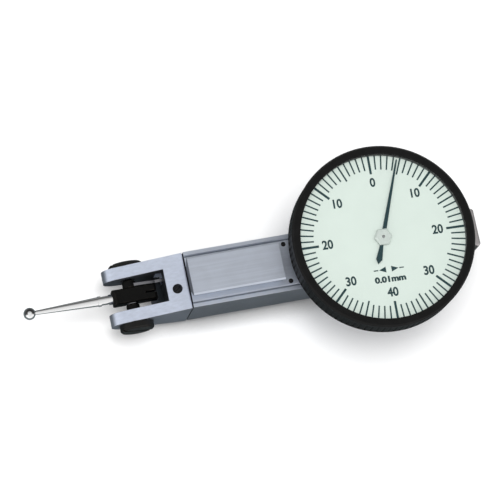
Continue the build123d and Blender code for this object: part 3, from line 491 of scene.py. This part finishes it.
def finish_body():
    # Satin metals carry a painted dark reflection of the ground.
    finish = {"grain": 0.0025, "metallic": 0.88, "painted_reflection": below_horizon}
    satin = metal("satin_chrome", CHROME, 0.48, lines=ALONG_X, **finish)
    paint(satin, "casing")
    # The cover plate's front end face carries painted shade.
    cover = metal("satin_chrome_cover", CHROME, 0.48, lines=ALONG_X, shade_mask=front_end, **finish)
    paint(cover, "cover_plate")
    upright = metal("satin_nickel_upright", rgba(0.5, 0.475, 0.475), 0.45, lines=ALONG_Z, **finish)
    paint(upright, "rear_dovetail")
    # The walls of the nose block's slot carry painted shade.
    nose = metal("nose_chrome", NOSE_CHROME, 0.48, lines=(0.35, 1, 1), shade_mask=inside_slot, **finish)
    paint(nose, "nose_block")
    turned = metal("turned_aluminium", rgba(0.42, 0.43, 0.45), 0.34, rings=DIAL_AXIS, grain=0.002)
    paint(turned, "dial_case")
    bright_screw = metal("screw_steel_turned", rgba(0.48, 0.48, 0.49), 0.3, grain=0.003)
    screws = [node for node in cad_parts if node.endswith("_screws")]
    paint(bright_screw, *screws)
    dark = black_coat("dark_screw", rgba(0.008, 0.008, 0.009), 0.35, rgba(0.2, 0.2, 0.2), wear=0.4)
    paint(dark, "nose_set_screw", "cover_screws")


def finish_fork():
    oxide = black_coat("black_oxide", OXIDE, 0.42, OXIDE_WORN, specular=0.1, grain=0.003, wear=0.9)
    paint(oxide, "swivel_block", "rocker_hub", "friction_hub")
    turned = black_coat(
        "black_oxide_turned", scaled(OXIDE, 1.6), 0.38, OXIDE_WORN,
        grain=0.004, rings=PIVOT_AXIS, wear=0.9,
    )
    paint(turned, "bearing_screw_right", "bearing_screw_left")
    polished = metal("polished_steel", STEEL, 0.14, lines=ALONG_X, grain=0.0006, wear=0.2)
    paint(polished, "sector_lever")
    # Darker steel for the rocker arm: painted shade for its place in the slot.
    paint(metal("steel_painted_shade", rgba(0.3, 0.3, 0.32), 0.25, lines=ALONG_X, wear=0.3), "rocker_arm")
    bright = {"colour": rgba(1, 1, 1), "grain": 0.0003, "wear": 0.1, "mottle": 0.02}
    # The shank and the ball carry a painted dark reflection.
    shank = metal("polished_shank", roughness=0.1, lines=ALONG_X, painted_reflection=pale_flag, **bright)
    paint(shank, "stylus_shank")
    ball = metal("hard_chrome", roughness=0.04, painted_reflection=black_flag, **bright)
    paint(ball, "contact_ball")
    arbor = metal("arbor_steel", STEEL, 0.12, lines=ALONG_Y, grain=0.0006, wear=0.2)
    paint(arbor, "rocker_axle", "lever_arbor", "crown_arbor", "crown_pinion", "drive_pin")
    paint(metal("centre_arbor_steel", STEEL, 0.12, lines=ALONG_Z, grain=0.0006, wear=0.2), "centre_pinion")


def finish_movement():
    plates = metal("brushed_brass", rgba(0.68, 0.47, 0.19), 0.28, lines=ALONG_X, grain=0.0015)
    paint(
        plates, "movement_plate_left", "movement_plate_right", "movement_spacers",
        "centre_bridge", "dial_bridge", "dial_bridge_pillars", "hairspring_collet", "hairspring_stud",
    )
    wheel_axis = (middle("crown_wheel"), (0, 1, 0))
    paint(metal("turned_brass", rgba(0.7, 0.5, 0.2), 0.24, rings=wheel_axis, grain=0.001), "crown_wheel")
    ruby = jewel("ruby")
    paint(ruby, *[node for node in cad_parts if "jewel" in node])
    spring = metal("spring_steel", rgba(0.36, 0.36, 0.38), 0.25, grain=0.001)
    paint(spring, "bezel_wire", "dial_snap_ring", "friction_washer")
    paint(metal("hairspring_blue", rgba(0.2, 0.27, 0.42), 0.2, grain=0.0005), "hairspring")


def finish_dial():
    bezel = black_coat(
        "bezel_black", ANODISED, 0.42, rgba(0.05, 0.05, 0.05), specular=0.15, rings=DIAL_AXIS, wear=0.15
    )
    paint(bezel, "bezel")
    paint(clear_crystal("crystal_clear"), "crystal")
    paint(rubber("gasket_black", rgba(0.012, 0.012, 0.012), 0.75), "crystal_gasket")
    paint(rubber("spacer_black", rgba(0.015, 0.015, 0.016), 0.6), "crystal_spacer")
    paint(enamel("dial_green", rgba(0.615, 0.66, 0.62), 0.5), "dial_plate")
    paint(enamel("hand_teal", rgba(0.004, 0.028, 0.034), 0.5), "hand")
    nickel = metal(
        "hub_nickel", rgba(0.70, 0.735, 0.705), 0.4, rings=DIAL_AXIS, grain=0.001, corner_shade_weight=0.0, metallic=0.5
    )
    paint(nickel, "hand_hub")


def on_dial(radius, angle):
    """Point on the dial face plane at a clockwise angle in degrees from the dial's zero."""
    turn = math.radians(angle)
    return Vector((radius * math.sin(turn), radius * math.cos(turn)))


def slab(mesh, outline, low, high):
    """Closed flat solid with that outline, in millimetres."""
    bottom = [mesh.verts.new((x * MM, y * MM, low * MM)) for x, y in outline]
    top = [mesh.verts.new((x * MM, y * MM, high * MM)) for x, y in outline]
    mesh.faces.new(reversed(bottom))
    mesh.faces.new(top)
    for i in range(len(outline)):
        j = (i + 1) % len(outline)
        mesh.faces.new((bottom[i], bottom[j], top[j], top[i]))


def add_piece(name, mesh, material, body):
    """Turns a bmesh into a piece that rides on a body and has a material slot."""
    data = bpy.data.meshes.new(name)
    bmesh.ops.recalc_face_normals(mesh, faces=mesh.faces)
    mesh.to_mesh(data)
    mesh.free()
    data.materials.append(material)
    piece = bpy.data.objects.new(name, data)
    bpy.context.scene.collection.objects.link(piece)
    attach(piece, body)


def tick_kind(index):
    if index % NUMBERED_EVERY == 0:
        return "ten"
    return "five" if index % MIDDLE_EVERY == 0 else "one"


def build_ticks(face, material):
    mesh = bmesh.new()
    for index in range(DIVISIONS):
        kind = tick_kind(index)
        angle = index * 360 / DIVISIONS + DIAL_SETTING
        inner = on_dial(TICK_INNER[kind], angle)
        outer = on_dial(TICK_OUTER, angle)
        side = on_dial(TICK_WIDTH[kind] / 2, angle + 90)
        outline = [inner - side, outer - side, outer + side, inner + side]
        slab(mesh, outline, face, face + INK_THICKNESS)
    add_piece("dial_ticks", mesh, material, "bezel")


def stamp_text(mesh, text, height, widening, weight, centre, face):
    """Adds upright lettering of that capital height around a centre on the dial face.

    widening stretches it sideways. weight thickens its strokes, as a share of the height.
    """
    curve = bpy.data.curves.new("lettering", "FONT")
    curve.body = text
    curve.align_x = "CENTER"
    curve.align_y = "CENTER"
    curve.size = height * FONT_SIZE_PER_CAPITAL * MM
    curve.bevel_depth = weight * height * MM
    curve.bevel_resolution = 0
    curve.resolution_u = FONT_STEPS
    text_object = bpy.data.objects.new("lettering", curve)
    bpy.context.scene.collection.objects.link(text_object)
    depsgraph = bpy.context.evaluated_depsgraph_get()
    solid = bpy.data.meshes.new_from_object(text_object.evaluated_get(depsgraph))
    place = Vector((centre[0], centre[1], face + INK_THICKNESS / 2)) * MM
    turn = Matrix.Rotation(math.radians(-DIAL_SETTING), 4, "Z")
    flatten = INK_THICKNESS / (2 * weight * height)
    size = Matrix.Diagonal((widening, 1, flatten, 1))
    solid.transform(turn @ Matrix.Translation(place) @ size)
    mesh.from_mesh(solid)
    bpy.data.objects.remove(text_object)
    bpy.data.curves.remove(curve)
    bpy.data.meshes.remove(solid)


def build_numerals(face, material):
    mesh = bmesh.new()
    numbered = DIVISIONS // NUMBERED_EVERY
    for index in range(numbered):
        value = min(index, numbered - index) * NUMBERED_EVERY
        centre = on_dial(NUMERAL_RADIUS, index * 360 / numbered)
        stamp_text(mesh, str(value), NUMERAL_HEIGHT, NUMERAL_WIDENING, NUMERAL_WEIGHT, centre, face)
    stamp_text(mesh, "0.01mm", UNIT_HEIGHT, UNIT_WIDENING, UNIT_WEIGHT, (0, UNIT_CENTRE_Y), face)
    bmesh.ops.remove_doubles(mesh, verts=mesh.verts, dist=MERGE_DISTANCE * MM)
    add_piece("dial_numerals", mesh, material, "bezel")


def build_arrows(face, material):
    """Two small arrows that show both reading directions."""
    mesh = bmesh.new()
    turn = Matrix.Rotation(math.radians(-DIAL_SETTING), 2)
    head = [(ARROW_BASE, -ARROW_HALF_HEIGHT), (ARROW_TIP, 0), (ARROW_BASE, ARROW_HALF_HEIGHT)]
    dash = [
        (DASH_INNER, -DASH_HALF_HEIGHT),
        (DASH_OUTER, -DASH_HALF_HEIGHT),
        (DASH_OUTER, DASH_HALF_HEIGHT),
        (DASH_INNER, DASH_HALF_HEIGHT),
    ]
    for side in (-1, 1):
        for outline in (head, dash):
            placed = [turn @ Vector((side * x, ARROW_CENTRE_Y + y)) for x, y in outline]
            slab(mesh, placed, face, face + INK_THICKNESS)
    add_piece("dial_arrows", mesh, material, "bezel")


def build_dial_markings():
    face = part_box("dial_plate")[1].z / MM
    print_ink = ink("dial_ink", rgba(0.008, 0.03, 0.034))
    build_ticks(face, print_ink)
    build_numerals(face, print_ink)
    build_arrows(face, print_ink)


def pale_floor():
    """White matte ground with a painted contact shadow, and painted darker close by where metal mirrors
    it.
    """
    graph = Graph("floor_white")
    tone = graph.spread(graph.noise(per_mm=0.02, detail=3), 0.3, 0.7, *FLOOR_TONE)
    shade = graph.node("CombineColor", {"Red": tone, "Green": tone, "Blue": tone}).outputs[0]
    # Painted contact shadow: ambient occlusion darkens the floor near the object.
    contact = graph.spread(graph.crevices(CONTACT_REACH), low=0.85, high=0.4, to_high=CONTACT_SHARE)
    shade = graph.tint(contact, shade, rgba(0.05, 0.05, 0.05))
    matte = graph.node("BsdfDiffuse", {"Color": shade}).outputs[0]
    away = graph.vector("SUBTRACT", graph.place, tuple((CAD_BOX[0] + CAD_BOX[1]) / 2 / MM))
    reach = graph.vector("LENGTH", graph.vector("DIVIDE", away, NEAR_FLOOR))
    far = graph.spread(reach, *NEAR_REACH)
    # Painted reflection: the floor that metal mirrors is dark near the object.
    mirrored = graph.tint(far, rgba(0.1, 0.12, 0.125), rgba(0.95, 0.95, 0.95))
    table = graph.node("BsdfDiffuse", {"Color": mirrored}).outputs[0]
    seen_in_metal = graph.node("LightPath").outputs["Is Glossy Ray"]
    mixed = graph.node("MixShader", {0: seen_in_metal, 1: matte, 2: table}).outputs[0]
    return graph.output(mixed)


def build_floor():
    mesh = bmesh.new()
    half = FLOOR_SIZE / 2
    level = CAD_BOX[0].z / MM - FLOOR_GAP
    corners = [(-half, -half), (half, -half), (half, half), (-half, half)]
    slab(mesh, corners, level - FLOOR_THICKNESS, level)
    data = bpy.data.meshes.new("floor")
    mesh.to_mesh(data)
    mesh.free()
    data.materials.append(pale_floor())
    floor = bpy.data.objects.new("floor", data)
    bpy.context.scene.collection.objects.link(floor)


def add_softbox(name, direction, distance, size, power):
    """Square area light that stands in a direction from the camera's target and faces it."""
    light = bpy.data.lights.new(name, "AREA")
    light.shape = "SQUARE"
    light.size = size * MM
    light.energy = power
    lamp = bpy.data.objects.new(name, light)
    bpy.context.scene.collection.objects.link(lamp)
    away = Vector(direction).normalized()
    lamp.location = (CAMERA_TARGET + away * distance) * MM
    lamp.rotation_euler = away.to_track_quat("Z", "Y").to_euler()
    return lamp


def light_studio():
    """Soft sky all around, and one large lamp that metal doesn't mirror."""
    world = bpy.data.worlds.new("studio")
    world.use_nodes = True
    bpy.context.scene.world = world
    tree = world.node_tree
    tree.nodes.clear()
    direction = tree.nodes.new("ShaderNodeTexCoord")
    parts = tree.nodes.new("ShaderNodeSeparateXYZ")
    tree.links.new(direction.outputs["Generated"], parts.inputs[0])
    ramps = []
    for axis, low, high, to_low, to_high in SKY_RAMPS:
        ramp = tree.nodes.new("ShaderNodeMapRange")
        limits = {"From Min": low, "From Max": high, "To Min": to_low, "To Max": to_high}
        for name, value in limits.items():
            ramp.inputs[name].default_value = value
        tree.links.new(parts.outputs[axis], ramp.inputs["Value"])
        ramps.append(ramp.outputs["Result"])
    total = ramps[0]
    for ramp in ramps[1:]:
        join = tree.nodes.new("ShaderNodeMath")
        tree.links.new(total, join.inputs[0])
        tree.links.new(ramp, join.inputs[1])
        total = join.outputs[0]
    sky = tree.nodes.new("ShaderNodeBackground")
    out = tree.nodes.new("ShaderNodeOutputWorld")
    tree.links.new(total, sky.inputs["Strength"])
    tree.links.new(sky.outputs[0], out.inputs["Surface"])
    key = add_softbox("key", KEY_DIRECTION, KEY_DISTANCE, KEY_SIZE, KEY_WATTS)
    key.visible_glossy = False


def add_camera():
    azimuth = math.radians(CAMERA_AZIMUTH)
    elevation = math.radians(CAMERA_ELEVATION)
    roll = math.radians(CAMERA_ROLL)
    flat = Vector((math.sin(azimuth), -math.cos(azimuth), 0))
    back = flat * math.cos(elevation) + Vector((0, 0, math.sin(elevation)))
    level_right = Vector((math.cos(azimuth), math.sin(azimuth), 0))
    level_up = back.cross(level_right)
    right = level_right * math.cos(roll) + level_up * math.sin(roll)
    up = back.cross(right)
    camera = bpy.data.cameras.new("photo_view")
    camera.lens = CAMERA_LENS
    camera.sensor_width = SENSOR_WIDTH
    camera.clip_start = CLIP_START
    eye = bpy.data.objects.new("photo_view", camera)
    bpy.context.scene.collection.objects.link(eye)
    turned = Matrix((right, up, back)).transposed().to_4x4()
    eye.matrix_world = Matrix.Translation((CAMERA_TARGET + back * CAMERA_DISTANCE) * MM) @ turned
    bpy.context.scene.camera = eye
    bpy.context.scene.view_settings.view_transform = "Standard"


finish_body()
finish_fork()
finish_movement()
finish_dial()
build_dial_markings()
build_floor()
light_studio()
add_camera()
